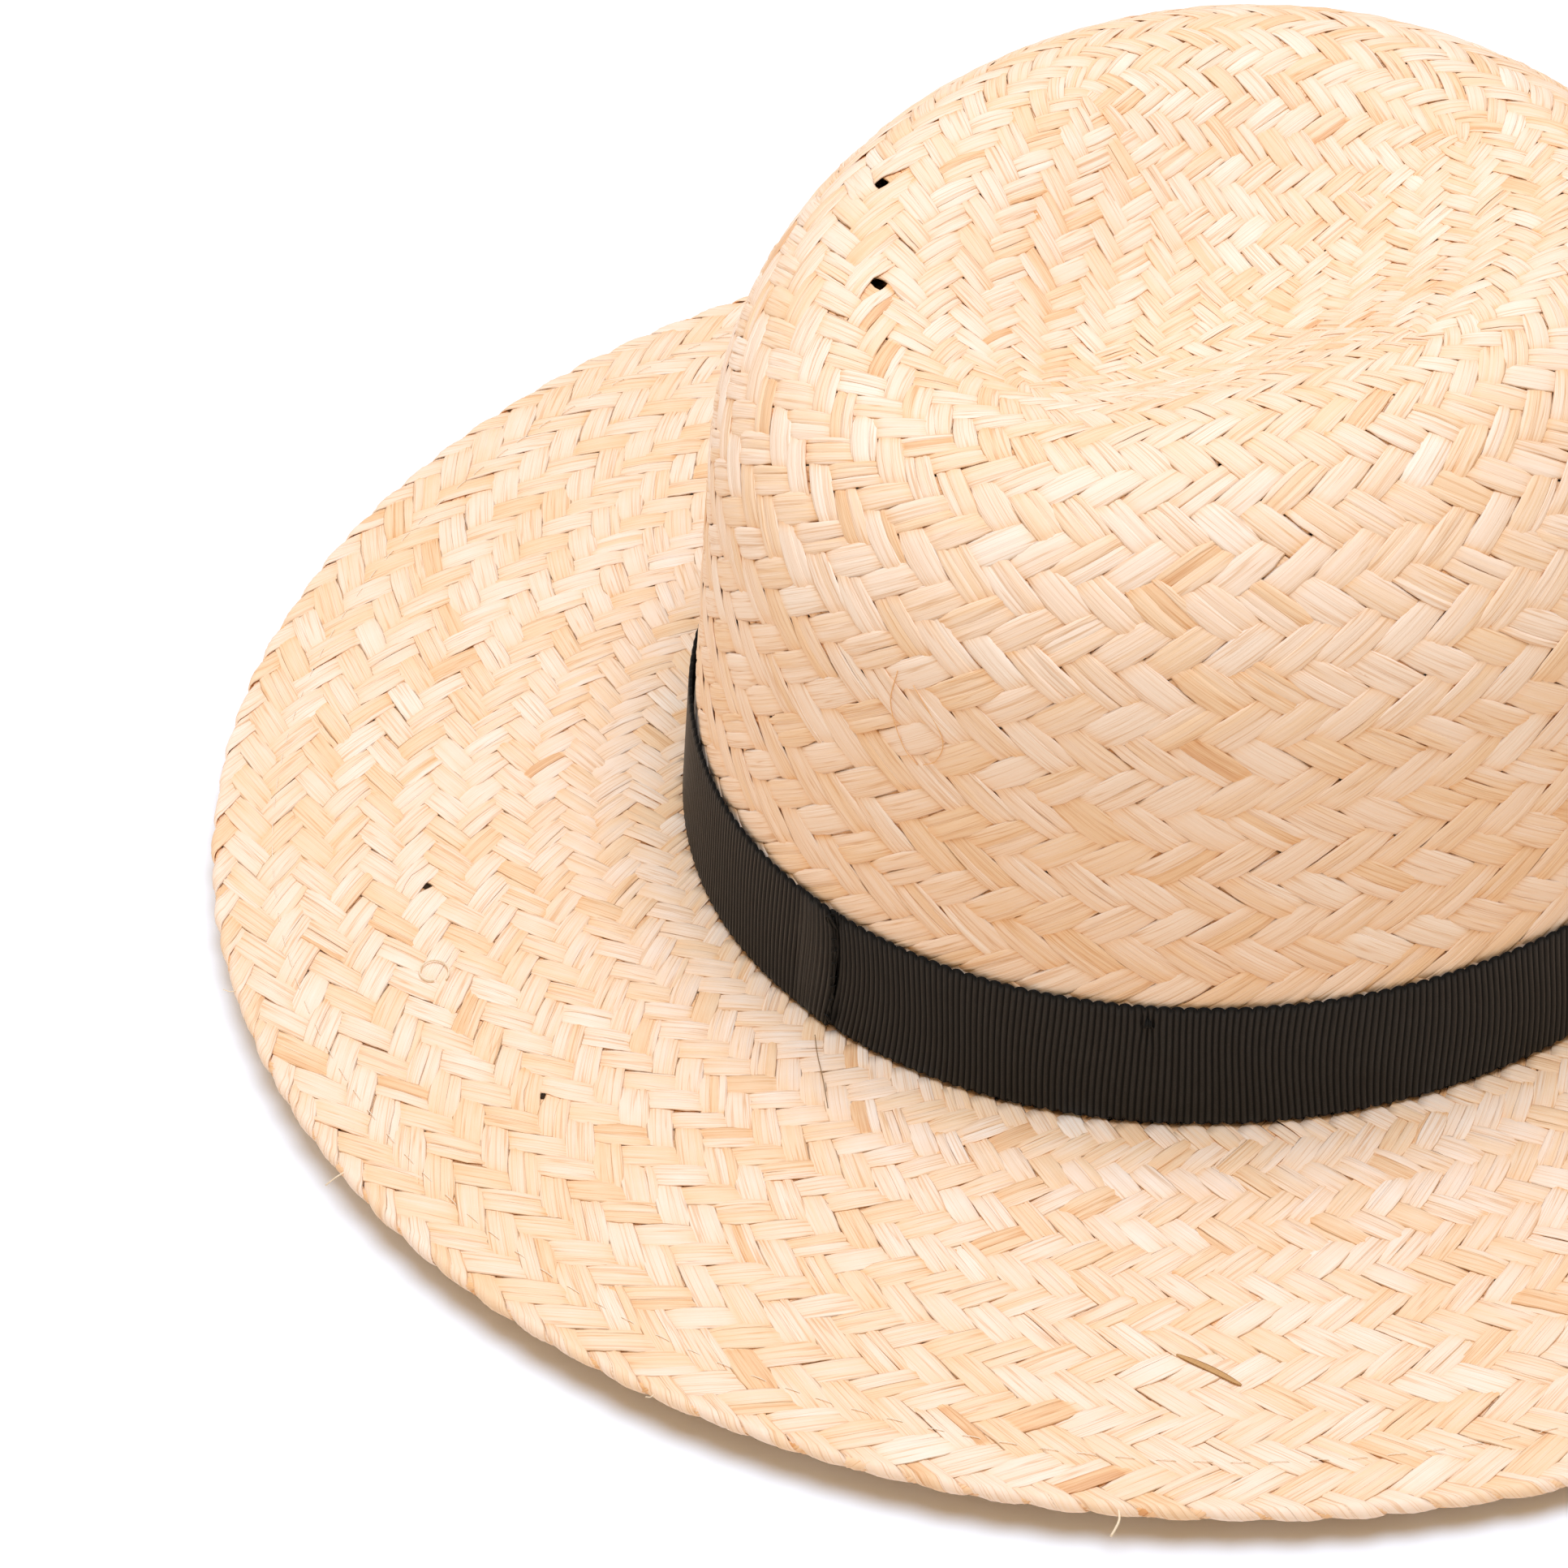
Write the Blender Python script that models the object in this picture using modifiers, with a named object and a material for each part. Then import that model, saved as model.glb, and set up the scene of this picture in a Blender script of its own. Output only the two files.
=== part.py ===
"""Woven straw sun hat: crown with a centre dent, wide brim, ribbon band and inner sweatband.

Metres, +Z up. The hat stands on its brim at z = 0, its front towards -Y and the
wearer's left towards +X. Lengths marked "up the wall" start at the crown's foot.
"""

import math

import bmesh
import bpy
from mathutils import Matrix, Vector

MM = 0.001
GAP = 0.3 * MM                  # clearance that touching pieces keep

SIDES = 64                      # steps round every ring

# crown, measured on its outer face
CROWN_R = 94.0 * MM             # mean radius at the foot
OVAL = 2.5 * MM                 # half of the difference between length and width radii
CROWN_H = 127.5 * MM            # height of the crown before it is dented
SHOULDER_R = 56.0 * MM
WALL_TAPER = 0.058              # inward lean of the wall, metres per metre
CROWN_SKIN = 1.8 * MM
CROWN_LEAN = 4.8 * MM           # how far the top sits behind the foot's centre
FOOT_TILT = 0.044               # rise of the crown's foot from front to back, per metre
FOOT_Z = 11.8 * MM              # mean height of the crown's foot over the ground

# centre dent, pressed into the top
DENT_DEPTH = 30.0 * MM
DENT_HALF_WIDTH = 37.6 * MM
DENT_Y = -16.7 * MM             # deepest point, ahead of the centre
DENT_FRONT = 56.0 * MM
DENT_BACK = 71.0 * MM
DENT_FROM_Z = 0.45              # share of the crown's height below which nothing is dented

# brim
BRIM_W = 84.0 * MM
BRIM_SKIN = 1.6 * MM
EDGE_TOP_Z = 2.9 * MM
HEM_W = 12.0 * MM
HEM_SKIN = 1.0 * MM
HEM_THREAD_IN = 10.0 * MM       # distance of the hem's stitch line from the edge

# ribbon band
BAND_H = 24.0 * MM
BAND_SKIN = 0.7 * MM
SEAM_DEG = 286.0                # free edge of the band's lapped end
LAP_W = 9.0 * MM
LAP_SKIN = 0.5 * MM
TACK_DEG = (322.5, 52.5, 142.5, 232.5)
TACK_DROP = 3.5 * MM            # below the band's top edge
TACK_LEN = 2.2 * MM

# sweatband
SWEAT_H = 30.0 * MM
SWEAT_SKIN = 0.8 * MM
SWEAT_FOOT = 1.0 * MM
SWEAT_LAP_DEG = 90.0
SWEAT_LAP_W = 14.0 * MM
SWEAT_THREAD_H = 4.0 * MM
BEND_SLACK = 0.15 * MM           # more room where the wall starts to curve

THREAD_R = 0.2 * MM

STRAW = (0.86, 0.68, 0.46, 1.0)
STRAW_HEM = (0.80, 0.62, 0.41, 1.0)
BLACK = (0.012, 0.011, 0.010, 1.0)
BLACK_THREAD = (0.02, 0.02, 0.02, 1.0)
NYLON = (0.85, 0.82, 0.76, 1.0)
COTTON = (0.74, 0.68, 0.57, 1.0)


def clear_scene():
    for old in list(bpy.data.objects):
        bpy.data.objects.remove(old, do_unlink=True)


def new_collection(name):
    made = bpy.data.collections.new(name)
    bpy.context.scene.collection.children.link(made)
    return made


def material(name, colour, roughness):
    made = bpy.data.materials.new(name)
    made.use_nodes = True
    shader = made.node_tree.nodes["Principled BSDF"]
    shader.inputs["Base Color"].default_value = colour
    shader.inputs["Roughness"].default_value = roughness
    shader.inputs["Metallic"].default_value = 0.0
    return made


# ---- shape of the crown and the brim -------------------------------------------------

def wall_radius(height):
    """Mean outer radius of the wall at a height up the wall."""
    return CROWN_R - height * WALL_TAPER


def dent_at(x, y, length_r):
    """Depth of the dent at a place on the crown, fading out at the wall."""
    reach = DENT_FRONT if y < DENT_Y else DENT_BACK
    bell = math.exp(-(x / DENT_HALF_WIDTH) ** 2 - ((y - DENT_Y) / reach) ** 2)
    edge = min(math.hypot(x, y) / length_r, 1.0)
    return DENT_DEPTH * bell * (1.0 - edge ** 4)


def set_on_head(point):
    """Turned crown shape to the real one: oval, dented, leaning and tilted."""
    x = point.x * (1.0 - OVAL / (CROWN_R + GAP))
    y = point.y * (1.0 + OVAL / (CROWN_R + GAP))
    z = point.z
    if z > DENT_FROM_Z * CROWN_H:
        z -= dent_at(x, y, CROWN_R)
    y += CROWN_LEAN * z / CROWN_H
    return Vector((x, y - FOOT_TILT * z, FOOT_Z + z + FOOT_TILT * y))


def brim_top(radius, angle):
    """A point on the brim's upper face at a mean radius and an angle."""
    x = (radius - OVAL) * math.cos(angle)
    y = (radius + OVAL) * math.sin(angle)
    foot_y = (CROWN_R + OVAL) * math.sin(angle)
    foot_z = FOOT_Z + FOOT_TILT * foot_y - GAP
    across = max(0.0, (radius - CROWN_R) / BRIM_W)
    return Vector((x, y, foot_z + (EDGE_TOP_Z - foot_z) * across))


def lay_brim(point):
    """Turned flat ring to the brim: the same angle, on the sloping oval surface."""
    laid = brim_top(math.hypot(point.x, point.y), math.atan2(point.y, point.x))
    return laid + Vector((0.0, 0.0, point.z))


def lay_flat(point):
    """Turned flat ring to the oval of the brim's edge, level with the ground."""
    radius = math.hypot(point.x, point.y)
    angle = math.atan2(point.y, point.x)
    return Vector(((radius - OVAL) * math.cos(angle), (radius + OVAL) * math.sin(angle), point.z))


# ---- modelling helpers ----------------------------------------------------------------

def turned(name, profile, sweep=math.tau, steps=SIDES):
    """A profile of (radius, height) points spun round Z, as a mesh object."""
    outline = bmesh.new()
    corners = [outline.verts.new((radius, 0.0, height)) for radius, height in profile]
    for first, second in zip(corners, corners[1:]):
        outline.edges.new((first, second))
    mesh = bpy.data.meshes.new(name)
    outline.to_mesh(mesh)
    outline.free()
    obj = bpy.data.objects.new(name, mesh)
    parts.objects.link(obj)
    screw = obj.modifiers.new("Screw", "SCREW")
    screw.axis = "Z"
    screw.angle = sweep
    screw.steps = steps
    screw.render_steps = steps
    screw.use_merge_vertices = True
    screw.merge_threshold = 0.00005
    apply_modifiers(obj)
    return obj


def apply_modifiers(obj):
    view = bpy.context.evaluated_depsgraph_get()
    baked = bpy.data.meshes.new_from_object(obj.evaluated_get(view))
    obj.modifiers.clear()
    obj.data = baked


def reshape(obj, rule):
    """Move every vertex to where the rule puts it."""
    for vertex in obj.data.vertices:
        vertex.co = rule(vertex.co.copy())
    obj.data.update()


def spun(point, angle):
    """The point turned about Z."""
    return Matrix.Rotation(angle, 3, "Z") @ point


def thicken(obj, thickness, side):
    """Closed shell; side is 1 to grow outward from the surface and -1 to grow inward."""
    skin = obj.modifiers.new("Solidify", "SOLIDIFY")
    skin.thickness = thickness
    skin.offset = side
    skin.use_even_offset = True


def wear(obj, colour, roughness):
    obj.data.materials.clear()
    obj.data.materials.append(material(obj.name, colour, roughness))


def thread(name, points, closed, colour, radius=THREAD_R):
    """A thread as a round curve through the points."""
    curve = bpy.data.curves.new(name, "CURVE")
    curve.dimensions = "3D"
    curve.bevel_depth = radius
    curve.bevel_resolution = 1
    curve.use_fill_caps = True
    line = curve.splines.new("POLY")
    line.points.add(len(points) - 1)
    for knot, place in zip(line.points, points):
        knot.co = (*place, 1.0)
    line.use_cyclic_u = closed
    obj = bpy.data.objects.new(name, curve)
    parts.objects.link(obj)
    wear(obj, colour, 0.5)
    return obj


def ring_angles():
    return [math.tau * step / SIDES for step in range(SIDES)]


def on_wall(stand_off, height, angle):
    """A point beside the wall, off its outer face, at a height up the wall."""
    radius = wall_radius(height) + stand_off
    return set_on_head(Vector((radius * math.cos(angle), radius * math.sin(angle), height)))


# ---- sub-parts --------------------------------------------------------------------------

def make_crown():
    rise = CROWN_H - SHOULDER_R * (1.0 - WALL_TAPER)
    centre_r = wall_radius(rise) - SHOULDER_R
    profile = [(centre_r * share, CROWN_H) for share in (0.0, 0.3, 0.6, 1.0)]
    bend = 9
    for step in range(1, bend + 1):
        turn = (math.pi / 2.0 - WALL_TAPER) * step / bend
        profile.append((centre_r + SHOULDER_R * math.sin(turn),
                        CROWN_H - SHOULDER_R * (1.0 - math.cos(turn))))
    profile += [(wall_radius(rise * share), rise * share) for share in (0.7, 0.35, 0.0)]
    crown = turned("crown", profile)
    reshape(crown, set_on_head)
    thicken(crown, CROWN_SKIN, -1.0)
    wear(crown, STRAW, 0.6)


def make_brim():
    inner = CROWN_R - CROWN_SKIN
    outer = CROWN_R + BRIM_W
    rows = 6
    brim = turned("brim", [(inner + (outer - inner) * row / rows, 0.0) for row in range(rows + 1)])
    reshape(brim, lay_brim)
    thicken(brim, BRIM_SKIN, -1.0)
    wear(brim, STRAW, 0.6)


def make_hem():
    edge = CROWN_R + BRIM_W
    hem = turned("brim_hem", [(edge - HEM_W, HEM_SKIN), (edge, HEM_SKIN)])
    reshape(hem, lay_flat)
    thicken(hem, HEM_SKIN, -1.0)
    wear(hem, STRAW_HEM, 0.65)
    run = CROWN_R + BRIM_W - HEM_THREAD_IN
    lift = Vector((0.0, 0.0, THREAD_R + GAP / 2.0))
    thread("brim_hem_thread", [brim_top(run, angle) + lift for angle in ring_angles()], True, NYLON)


def make_band():
    inner = GAP
    top = GAP + BAND_H
    band = turned("hatband", [(wall_radius(top) + inner, top), (wall_radius(GAP) + inner, GAP)])
    reshape(band, set_on_head)
    thicken(band, BAND_SKIN, 1.0)
    wear(band, BLACK, 0.7)


def make_band_lap():
    """The ribbon's folded end, sewn down over the band."""
    stand_off = GAP + BAND_SKIN + GAP
    sweep = LAP_W / CROWN_R
    top = GAP + BAND_H
    lap = turned("hatband_lap", [(wall_radius(top) + stand_off, top),
                                 (wall_radius(GAP) + stand_off, GAP)], sweep, 2)
    reshape(lap, lambda co: set_on_head(spun(co, math.radians(SEAM_DEG) - sweep)))
    thicken(lap, LAP_SKIN, 1.0)
    wear(lap, BLACK, 0.7)


def make_seam_thread():
    """Zigzag hand stitches beside the lap's free edge."""
    stand_off = GAP + BAND_SKIN + THREAD_R + GAP / 2.0
    stitches = 9
    margin = 1.5 * MM
    throw = 0.45 * MM
    clear = 1.0 * MM
    points = []
    for step in range(stitches + 1):
        side = throw if step % 2 else -throw
        height = GAP + margin + (BAND_H - 2.0 * margin) * step / stitches
        points.append(on_wall(stand_off, height,
                              math.radians(SEAM_DEG) + (clear + side) / CROWN_R))
    thread("hatband_seam_thread", points, False, BLACK_THREAD)


def make_tacks():
    """Short upright stitches that hold the band to the crown."""
    stand_off = GAP + BAND_SKIN + THREAD_R + GAP / 2.0
    for number, degrees in enumerate(TACK_DEG, 1):
        top = GAP + BAND_H - TACK_DROP
        ends = [on_wall(stand_off, top - TACK_LEN * share, math.radians(degrees))
                for share in (0.0, 0.5, 1.0)]
        thread(f"hatband_tack_{number}", ends, False, BLACK_THREAD)


def sweat_radius(height):
    """Mean outer radius of the sweatband, inside the wall."""
    return wall_radius(height) - CROWN_SKIN - GAP - BEND_SLACK


def make_sweatband():
    top = SWEAT_FOOT + SWEAT_H
    band = turned("sweatband", [(sweat_radius(top), top), (sweat_radius(SWEAT_FOOT), SWEAT_FOOT)])
    reshape(band, set_on_head)
    thicken(band, SWEAT_SKIN, -1.0)
    wear(band, COTTON, 0.85)


def make_sweat_lap():
    """The sweatband's overlapping end at the back of the head."""
    inward = SWEAT_SKIN + GAP
    top = SWEAT_FOOT + SWEAT_H
    lap = turned("sweatband_lap", [(sweat_radius(top) - inward, top),
                                   (sweat_radius(SWEAT_FOOT) - inward, SWEAT_FOOT)],
                 SWEAT_LAP_W / CROWN_R, 3)
    reshape(lap, lambda co: set_on_head(spun(co, math.radians(SWEAT_LAP_DEG))))
    thicken(lap, SWEAT_SKIN, -1.0)
    wear(lap, COTTON, 0.85)


def make_sweat_thread():
    """Running stitch that joins the sweatband to the crown, short of the lap."""
    inward = SWEAT_SKIN + THREAD_R + GAP / 2.0
    start = math.radians(SWEAT_LAP_DEG)
    lap = SWEAT_LAP_W / CROWN_R
    clear = math.radians(2.0)
    first = start + lap + clear
    span = math.tau - lap - 2.0 * clear
    radius = sweat_radius(SWEAT_THREAD_H) - inward
    points = []
    for step in range(SIDES + 1):
        angle = first + span * step / SIDES
        points.append(set_on_head(Vector((
            radius * math.cos(angle), radius * math.sin(angle), SWEAT_THREAD_H))))
    thread("sweatband_thread", points, False, NYLON)


clear_scene()
parts = new_collection("straw_sun_hat")
make_crown()
make_brim()
make_hem()
make_band()
make_band_lap()
make_seam_thread()
make_tacks()
make_sweatband()
make_sweat_lap()
make_sweat_thread()
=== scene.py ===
"""Looks of the woven straw sun hat.

The crown and the brim are woven here strip by strip on the surfaces that the CAD holds.
Metres, +Z up, the hat's front towards -Y and the wearer's left towards +X.
"""

import math

import bpy
import numpy as np
from mathutils import Matrix, Vector


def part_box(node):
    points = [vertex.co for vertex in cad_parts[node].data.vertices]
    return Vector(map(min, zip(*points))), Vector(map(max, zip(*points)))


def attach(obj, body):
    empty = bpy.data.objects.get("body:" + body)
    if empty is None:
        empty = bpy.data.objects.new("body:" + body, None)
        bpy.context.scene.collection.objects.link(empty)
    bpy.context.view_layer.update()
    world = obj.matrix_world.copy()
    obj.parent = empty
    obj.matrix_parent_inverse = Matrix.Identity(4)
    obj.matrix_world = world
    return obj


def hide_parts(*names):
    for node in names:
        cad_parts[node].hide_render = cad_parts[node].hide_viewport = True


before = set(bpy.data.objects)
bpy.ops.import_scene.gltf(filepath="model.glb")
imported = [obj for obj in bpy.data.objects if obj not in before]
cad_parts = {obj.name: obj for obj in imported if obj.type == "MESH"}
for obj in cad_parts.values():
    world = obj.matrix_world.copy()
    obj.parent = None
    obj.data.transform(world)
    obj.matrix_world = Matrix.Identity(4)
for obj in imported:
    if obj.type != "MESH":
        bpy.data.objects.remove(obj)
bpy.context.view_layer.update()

MM = 0.001
TURN = 2.0 * math.pi

# ---- driving sizes of the shape, as the CAD has them ----

CROWN_R = 94.0 * MM             # mean outer radius at the crown's foot
OVAL = 2.5 * MM                 # how much longer the half length is than the mean radius
CROWN_H = 127.5 * MM
SHOULDER_R = 56.0 * MM
WALL_TAPER = 0.058              # inward, for each unit of height
CROWN_SKIN = 1.8 * MM
CROWN_LEAN = 4.8 * MM           # how far the top is pushed towards the back
FOOT_TILT = 0.044
FOOT_Z = 11.8 * MM
GAP = 0.3 * MM                  # between neighbouring solids of the CAD

DENT_DEPTH = 30.0 * MM
DENT_HALF_WIDTH = 37.6 * MM
DENT_Y = -16.7 * MM
DENT_FRONT = 56.0 * MM
DENT_BACK = 71.0 * MM
DENT_FROM = 0.45                # share of the crown's height under which nothing is dented

BRIM_R = (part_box("brim")[1].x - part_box("brim")[0].x) / 2.0 + OVAL
BRIM_EDGE_Z = 2.9 * MM
BRIM_RIPPLE = 0.12 * MM
HEM_W = 12.0 * MM
HEM_STITCHES = 170
HEM_THREAD_R = 0.07 * MM
HEM_SEED = 31
STITCH_IN = 10.0 * MM           # from the brim's edge to the hem's stitches

BAND_H = 24.0 * MM
BAND_SKIN = 0.7 * MM
BAND_RIB = 1.13 * MM            # from rib to rib
BAND_RIB_DEPTH = 0.46 * MM
BAND_SLACK = 0.10 * MM
SAG = 0.25 * MM                 # how far the ribbon settles into the brim's weave
SCALLOP = 0.62 * MM             # how far a ribbon's edge swells at every second rib
SEAM = math.radians(286.0)
SEAM_BOW = 0.9 * MM             # how far the seam bends half way up the band
SEAM_GROOVE = 0.45 * MM
SEAM_SEED = 11
LAP_W = 9.0 * MM
LAP_RISE = 0.62 * MM            # how far the folded end stands over the band
LAP_TUCK = 0.75 * MM
TACKS = [math.radians(degrees) for degrees in (322.5, 52.5, 142.5, 232.5)]
TACK_DROP = 3.5 * MM            # from the band's upper edge
TACK_PULL = 0.55 * MM
TACK_STRANDS = 7
TACK_SEED = 20

SWEAT_H = 30.0 * MM
SWEAT_FOOT = 1.0 * MM
SWEAT_SKIN = 0.8 * MM
SWEAT_RIB = 1.5 * MM
SWEAT_RIB_DEPTH = 0.18 * MM
SWEAT_IN = CROWN_SKIN + GAP + 0.15 * MM  # from the wall's outer face to the tape
SWEAT_LAP = math.radians(90.0)
SWEAT_LAP_W = 14.0 * MM
SWEAT_STITCHES = 190
SWEAT_THREAD_R = 0.14 * MM
SWEAT_THREAD_H = 4.0 * MM

# ---- the straw ----

SIDE = 15                       # strips on each side of the square that the crown starts from
CROWN_RINGS = 62                # rings of crossings from the crown's middle to its foot
CROWN_STEP = 3.4 * MM           # from ring to ring up the wall
CORNER_AT = math.radians(8.0)   # one corner of the square middle
BRIM_STRIPS = 118               # strips of each slant round the brim
BRIM_STEP = 2.95 * MM
EDGE_RING = 28.5                # the brim's edge, in rings from the band
STRIP_SKIN = 0.24 * MM
WEAVE_AMP = 0.20 * MM           # how far a strip sits over or under the middle of the weave
FLOAT_ARCH = 0.10 * MM
CAMBER = 0.20 * MM
CREASE = 0.06 * MM
FULL_HALF = 2.3 * MM            # strips narrower than twice this are also flatter
CROWN_MID = -0.70 * MM          # middle of the weave, below the CAD's outer face
BRIM_MID = -0.80 * MM
FOLD_R = 0.72 * MM
FOLD_BULGE = 0.55 * MM          # how far a strip stands off where it turns round the edge
SPIRAL = 4 * SIDE / math.pi     # rings of crossings in which the crown's lattice shrinks by e

# The objects that the strips are dealt out to, a strip's width as a share of its lane, how
# bold the weave is, and the spots pulled open: middle, reach, and push at the middle.
CROWN_STRAW = dict(
    pieces=6, fill=1.07, relief=1.0, fold_at=None, seed=3,
    holes=(((-0.0450, -0.0458, 0.1236), 3.6 * MM, 2.1 * MM),
           ((-0.0246, -0.0578, 0.1197), 3.4 * MM, 1.8 * MM)))
BRIM_STRAW = dict(
    pieces=7, fill=1.10, relief=0.75, fold_at=EDGE_RING, seed=5,
    holes=(((-0.0437, -0.1368, 0.0041), 2.8 * MM, 1.5 * MM),
           ((0.0148, -0.1432, 0.0040), 2.6 * MM, 1.3 * MM)))

# How uneven the strips are. A stretch is a strip's way over or under others between two dives.
DIVE_NARROWING = 0.08           # share of its width that a strip loses in a dive
WIDTH_WAVE = 0.05
WIDTH_SPREAD = 0.055
SHIFT_WAVE = 0.05
SHIFT_SPREAD = 0.05
LEAF_SWAY = 0.09
LEAF_LIFT = 0.13 * MM           # how far the upper one of two leaves lies over the lower
LEAF_TILT = 0.06 * MM
STRIP_TONE = 0.42               # 0 is the palest straw and 1 the darkest
STRIP_TONE_SPREAD = 0.09
LEAF_TONE_SPREAD = 0.10
BROWN_SHARE = 0.015             # share of the stretches that are browner than the rest
BROWN_TONES = (0.70, 0.95)

# ---- loose bits ----

# Straw ends at the rim: direction in degrees, reach, rise, radius.
RIM_ENDS = ((-35.4, 5.2 * MM, -1.2 * MM, 0.20 * MM), (-85.4, 3.6 * MM, -1.6 * MM, 0.14 * MM),
            (-61.0, 2.2 * MM, 0.6 * MM, 0.10 * MM), (-102.0, 2.6 * MM, 0.4 * MM, 0.10 * MM))
CURL_AT = (-0.0219, -0.1458)
CURL_SIZE = (3.1 * MM, 2.5 * MM)
CURL_R = 0.16 * MM
AMBER_R = 0.085 * MM
# Two amber fibres on the crown: direction in degrees, way up from the foot.
AMBER_LINES = (
    ((292.2, 80.0 * MM), (291.7, 73.0 * MM), (293.6, 65.8 * MM), (295.6, 63.1 * MM)),
    ((294.4, 78.6 * MM), (298.4, 70.7 * MM), (297.9, 65.7 * MM), (296.3, 63.6 * MM)),
)
SPLINTER_ENDS = ((0.1202, -0.0803), (0.1309, -0.0744))
SPLINTER_W = 1.35 * MM
SPLINTER_SKIN = 0.08 * MM
SPLINTER_L = 12.0 * MM
# The dark thread on the brim: x, y and lift.
DARK_LINE = ((0.0262, -0.0967, 0.5 * MM), (0.0305, -0.0985, 0.3 * MM),
             (0.0365, -0.1006, 0.25 * MM), (0.0426, -0.1030, 0.1 * MM))
DARK_R = 0.08 * MM


def wall_radius(height):
    """Mean outer radius of the crown's wall at a height up the wall."""
    return CROWN_R - height * WALL_TAPER


def set_on_head(points):
    """Points (n, 3) of the turned crown, moved to the oval, dented, leaning and tilted one."""
    x = points[:, 0] * (1.0 - OVAL / (CROWN_R + GAP))
    y = points[:, 1] * (1.0 + OVAL / (CROWN_R + GAP))
    z = points[:, 2]
    reach = np.where(y < DENT_Y, DENT_FRONT, DENT_BACK)
    bell = np.exp(-(x / DENT_HALF_WIDTH) ** 2 - ((y - DENT_Y) / reach) ** 2)
    edge = np.minimum(np.hypot(x, y) / CROWN_R, 1.0)
    z = z - np.where(z > DENT_FROM * CROWN_H, DENT_DEPTH * bell * (1.0 - edge ** 4), 0.0)
    y = y + CROWN_LEAN * z / CROWN_H
    return np.stack([x, y - FOOT_TILT * z, FOOT_Z + z + FOOT_TILT * y], 1)


def crown_profile():
    """Distance from the crown's middle, radius and height, from the middle to the foot."""
    rise = CROWN_H - SHOULDER_R * (1.0 - WALL_TAPER)
    centre_r = wall_radius(rise) - SHOULDER_R
    turn = np.linspace(0.0, math.pi / 2.0 - WALL_TAPER, 200)[1:]
    down = np.linspace(rise, 0.0, 100)[1:]
    flat = np.linspace(0.0, centre_r, 50)
    radius = np.concatenate([flat, centre_r + SHOULDER_R * np.sin(turn), wall_radius(down)])
    height = np.concatenate([
        0.0 * flat + CROWN_H, CROWN_H - SHOULDER_R * (1.0 - np.cos(turn)), down])
    step = np.hypot(np.diff(radius), np.diff(height))
    return np.concatenate([[0.0], np.cumsum(step)]), radius, height


PROFILE = crown_profile()
FOOT_CLEAR = 1.0 * MM               # from the crown's foot to the first crossings
CROWN_START = PROFILE[0][-1] - FOOT_CLEAR
EVEN_UNTIL = CROWN_STEP * SPIRAL    # nearer the middle the strips grow narrower


def unit(vectors):
    """The vectors, each with length 1."""
    length = np.linalg.norm(vectors, axis=-1, keepdims=True)
    return vectors / np.maximum(length, 1e-12)


def crown_surface(place):
    """Points on the crown's outer face; place is complex, 1 away from 0 at the foot."""
    rings = -np.log(np.maximum(np.abs(place), 1e-9)) * SPIRAL
    even = CROWN_START - CROWN_STEP * rings
    beyond = (EVEN_UNTIL - even) / EVEN_UNTIL
    away = np.where(even > EVEN_UNTIL, even, EVEN_UNTIL * np.exp(-np.maximum(beyond, 0.0)))
    radius = np.interp(away, PROFILE[0], PROFILE[1])
    height = np.interp(away, PROFILE[0], PROFILE[2])
    angle = np.angle(place)
    return set_on_head(np.stack([radius * np.cos(angle), radius * np.sin(angle), height], 1))


def crown_weave(place):
    """Middle of the crown's weave, and the outward normals."""
    step = 0.002 + 0.01 * np.abs(place)
    along = crown_surface(place + step) - crown_surface(place - step)
    across = crown_surface(place + 1j * step) - crown_surface(place - 1j * step)
    normal = unit(np.cross(along, across))
    return crown_surface(place) + CROWN_MID * normal, normal


def brim_top_z(radius, angle):
    """Height of the CAD's upper face of the brim."""
    foot = FOOT_Z + FOOT_TILT * (CROWN_R + OVAL) * np.sin(angle) - GAP
    across = np.clip((radius - CROWN_R) / (BRIM_R - CROWN_R), 0.0, None)
    return foot + (BRIM_EDGE_Z - foot) * across


def brim_weave(place):
    """Middle of the brim's weave and its normals; place is ring + 1j * angle in half strips.

    Past the edge the weave turns round it and runs back on the underside.
    """
    ring, angle = place.real, place.imag * math.pi / BRIM_STRIPS
    inland = np.abs(EDGE_RING - ring) * BRIM_STEP
    bend = np.minimum(inland / FOLD_R, math.pi / 2.0)
    radius = BRIM_R - FOLD_R + FOLD_R * np.cos(bend) - np.maximum(
        inland - FOLD_R * math.pi / 2.0, 0.0)
    side = np.where(ring > EDGE_RING, -1.0, 1.0)
    ripple = BRIM_RIPPLE * np.sin(5.0 * angle + 0.6) * (radius - CROWN_R) / (BRIM_R - CROWN_R)
    core = brim_top_z(radius, angle) + BRIM_MID - FOLD_R + ripple
    z = core + side * FOLD_R * np.sin(bend)
    points = np.stack([(radius - OVAL) * np.cos(angle), (radius + OVAL) * np.sin(angle), z], 1)
    tip = np.cos(bend)
    normal = np.stack([tip * np.cos(angle), tip * np.sin(angle), side * np.sin(bend)], 1)
    return points, unit(normal)


# ---- lattices: which crossings each strip passes, and where it is on top ----

def ring_start(ring):
    """Number of the first crossing of a crown ring; rings count from 1 at the middle."""
    full = max(ring - 1 - SIDE, 0)
    small = min(ring - 1, SIDE)
    return 2 * small * (small + 1) + 4 * SIDE * full


def crown_crossing(ring, place2):
    """Number of a crossing on the wall; place2 counts half strips round the crown."""
    return ring_start(ring) + (place2 // 2) % (4 * SIDE)


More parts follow.
